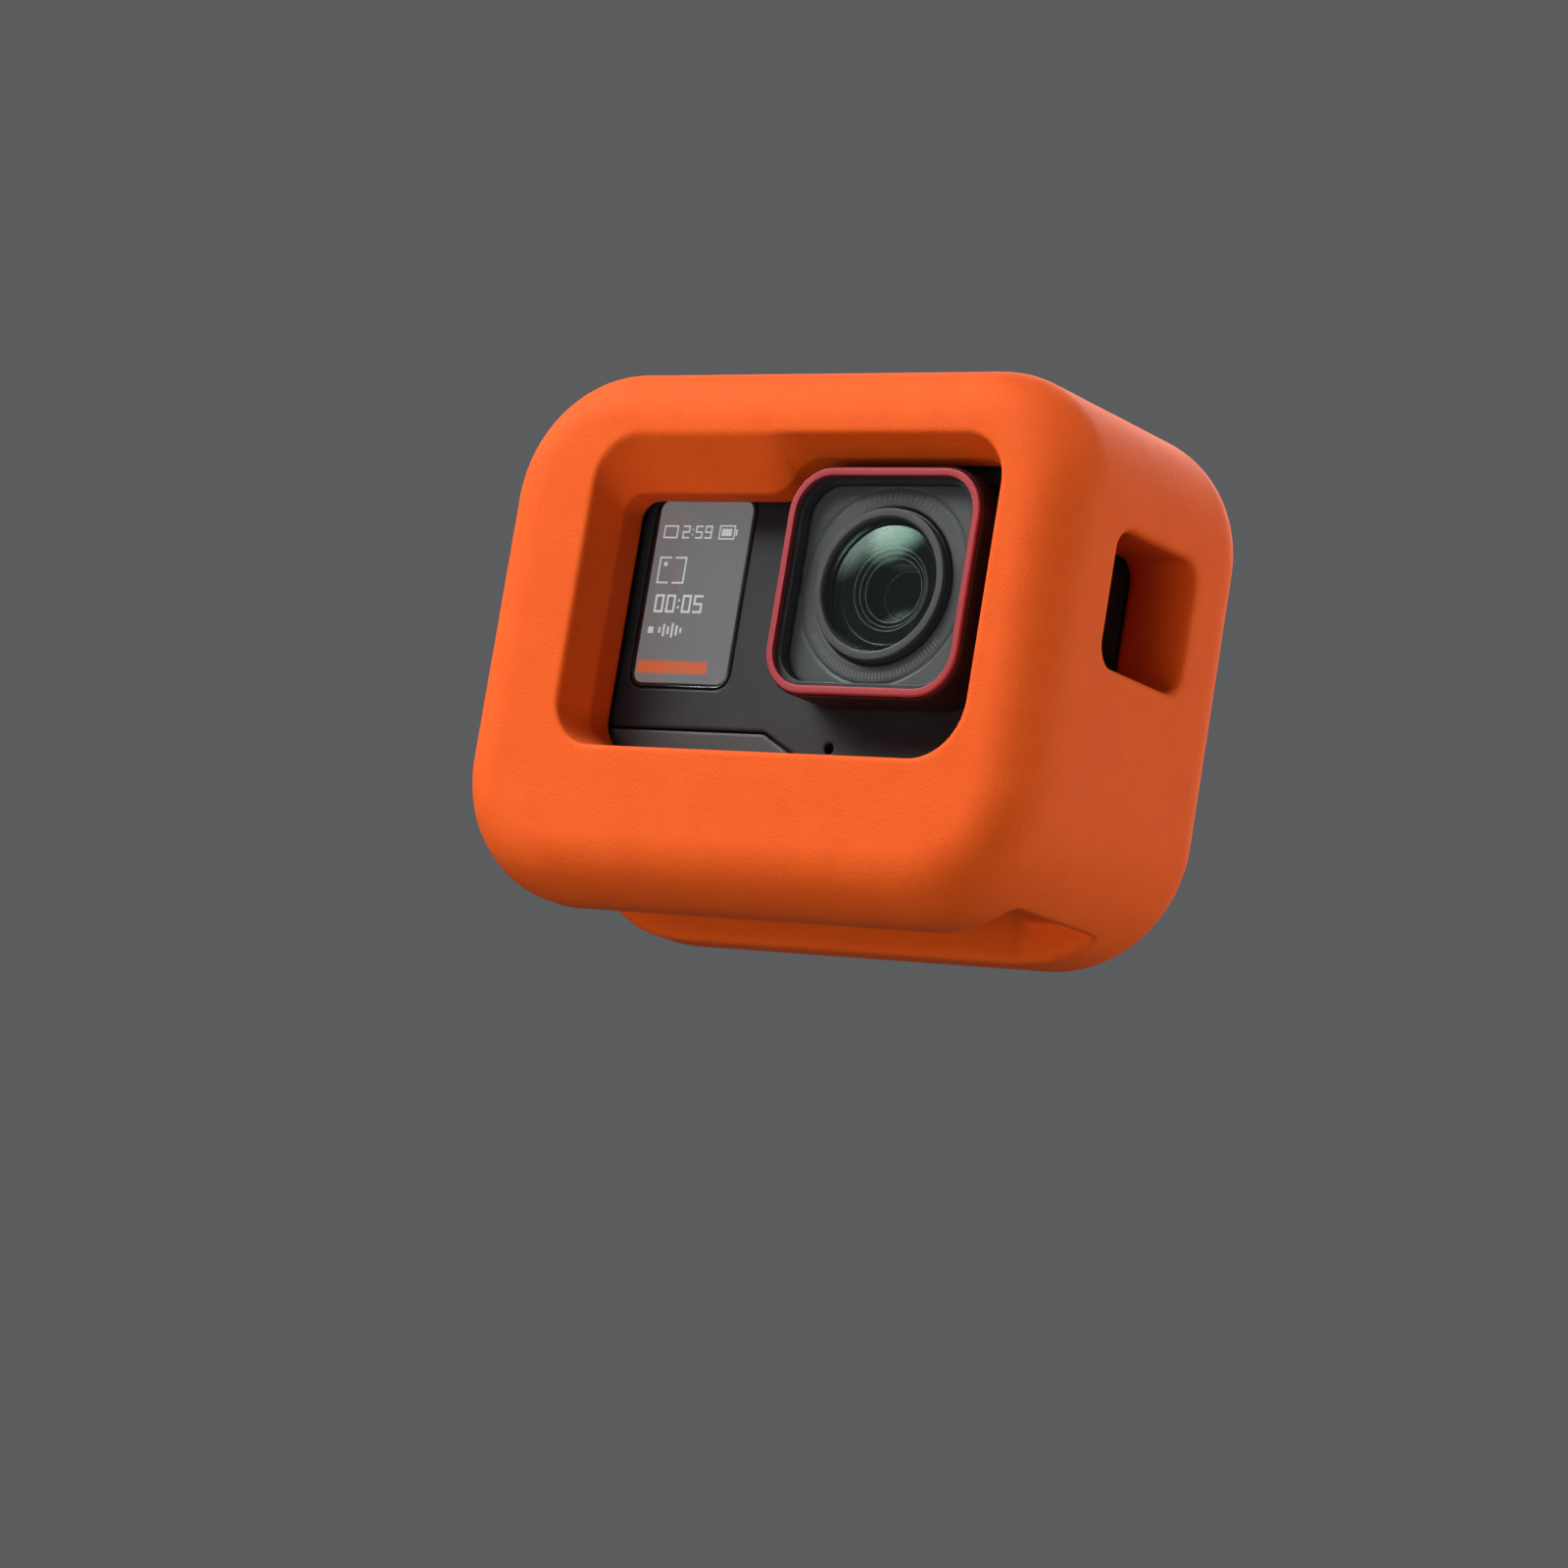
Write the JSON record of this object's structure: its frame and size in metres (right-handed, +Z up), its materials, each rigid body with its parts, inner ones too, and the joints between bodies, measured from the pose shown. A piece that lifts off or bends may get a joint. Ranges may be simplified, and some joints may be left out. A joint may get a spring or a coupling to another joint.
{
  "type": "action camera",
  "caption": "Action camera with a front display and a flip-up rear screen, in an orange foam float case.",
  "frame": {"origin": "middle of the float case at the level it stands on", "axes": "+X to the viewer's right as the lens faces the viewer, -Y the way the lens looks, +Z up"},
  "size_m": [0.0948, 0.045, 0.0734],
  "materials": {
    "foam": "closed-cell foam, matte",
    "shell": "fine texture",
    "wind_guard": "fine texture",
    "accent": "anodised satin",
    "lens_plate": "anodised satin",
    "lens_ring": "satin",
    "black": "satin black",
    "glass": "polished",
    "coated_glass": "polished, green coating",
    "display": "lit panel",
    "rubber": "matte",
    "steel": "bright",
    "magnet": "nickel plated",
    "board": "solder mask",
    "aluminium": "milled",
    "battery": "wrapped cell"
  },
  "bodies": {
    "case": {"float_case": "foam"},
    "camera": {"front_housing": "shell", "main_frame": "shell", "rear_housing": "shell", "wind_guard": "wind_guard", "screw_1": "steel", "screw_2": "steel", "screw_3": "steel", "screw_4": "steel", "front_display_glass": "glass", "front_display_panel": "display", "lens_plate": "lens_plate", "lens_barrel": "black", "lens_ring": "lens_ring", "front_lens": "coated_glass", "second_lens": "glass", "third_lens": "glass", "rear_lens": "glass", "aperture_ring": "black", "infrared_filter": "coated_glass", "image_sensor": "glass", "sensor_board": "board", "screen_hinge_pin_left": "steel", "screen_hinge_pin_right": "steel", "door_hinge_pin": "steel", "battery": "battery", "usb_port": "steel", "card_slot": "aluminium", "memory_card": "black", "shutter_switch": "steel", "power_switch": "steel", "main_board": "board", "heat_spreader": "aluminium", "speaker": "black", "microphone_front": "steel", "microphone_left": "steel", "microphone_low": "steel", "mount_plate": "steel", "magnet_left": "magnet", "magnet_right": "magnet"},
    "lens_guard": {"lens_guard_frame": "black", "lens_guard_ring": "accent", "lens_guard_glass": "glass"},
    "screen": {"screen_housing": "shell", "screen_panel": "display", "screen_glass": "glass"},
    "door": {"battery_door": "shell", "door_seal": "rubber"},
    "latch": {"door_latch": "accent"},
    "shutter": {"shutter_button": "shell"},
    "power": {"power_button": "shell"}
  },
  "joints": [
    {"name": "camera_slide", "type": "slide", "parent": "case", "child": "camera", "axis": [0, 1, 0], "range_m": [0, 0.046]},
    {"name": "lens_guard_pull", "type": "slide", "parent": "camera", "child": "lens_guard", "axis": [0, -1, 0], "range_m": [0, 0.012]},
    {"name": "screen_flip", "type": "hinge", "parent": "camera", "child": "screen", "pos_m": [0, 0.0155, 0.0592], "axis": [1, 0, 0], "range_deg": [0, 180]},
    {"name": "door_swing", "type": "hinge", "parent": "camera", "child": "door", "pos_m": [-0.0345, 0.0004, 0.0195], "axis": [0, -1, 0], "range_deg": [0, 90]},
    {"name": "latch_slide", "type": "slide", "parent": "door", "child": "latch", "axis": [0, 0, -1], "range_m": [0, 0.002], "stiffness_N_per_m": 300, "springref_m": -0.001},
    {"name": "shutter_press", "type": "slide", "parent": "camera", "child": "shutter", "axis": [0, 0, -1], "range_m": [0, 0.0008], "stiffness_N_per_m": 1200, "springref_m": -0.0004},
    {"name": "power_press", "type": "slide", "parent": "camera", "child": "power", "axis": [-1, 0, 0], "range_m": [0, 0.0006], "stiffness_N_per_m": 1200, "springref_m": -0.0004}
  ]
}
